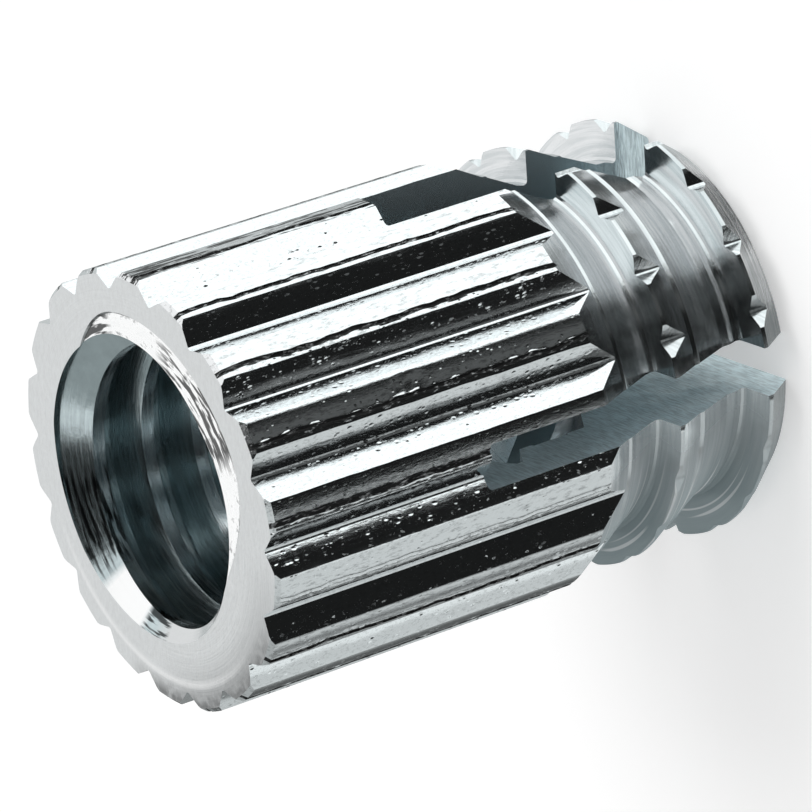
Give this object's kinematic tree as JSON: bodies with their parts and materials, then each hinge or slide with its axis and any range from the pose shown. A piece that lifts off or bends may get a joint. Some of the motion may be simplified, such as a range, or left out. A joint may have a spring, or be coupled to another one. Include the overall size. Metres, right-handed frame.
{
  "type": "expansion sleeve",
  "caption": "Press-in expansion sleeve with a ridged body, a threaded bore, crossed slots and barbed fingers.",
  "frame": {"origin": "centre of the footing that the four finger tips stand on", "axes": "+Z along the sleeve's axis, out of the threaded mouth; one saw cut runs 3.3 degrees to the -Y side of +X, the other 2 degrees to the -X side of +Y"},
  "size_m": [0.0078, 0.0078, 0.011],
  "materials": {
    "zinc_steel": "bright zinc plate with turning marks"
  },
  "bodies": {
    "root": {"sleeve": "zinc_steel"}
  },
  "joints": []
}
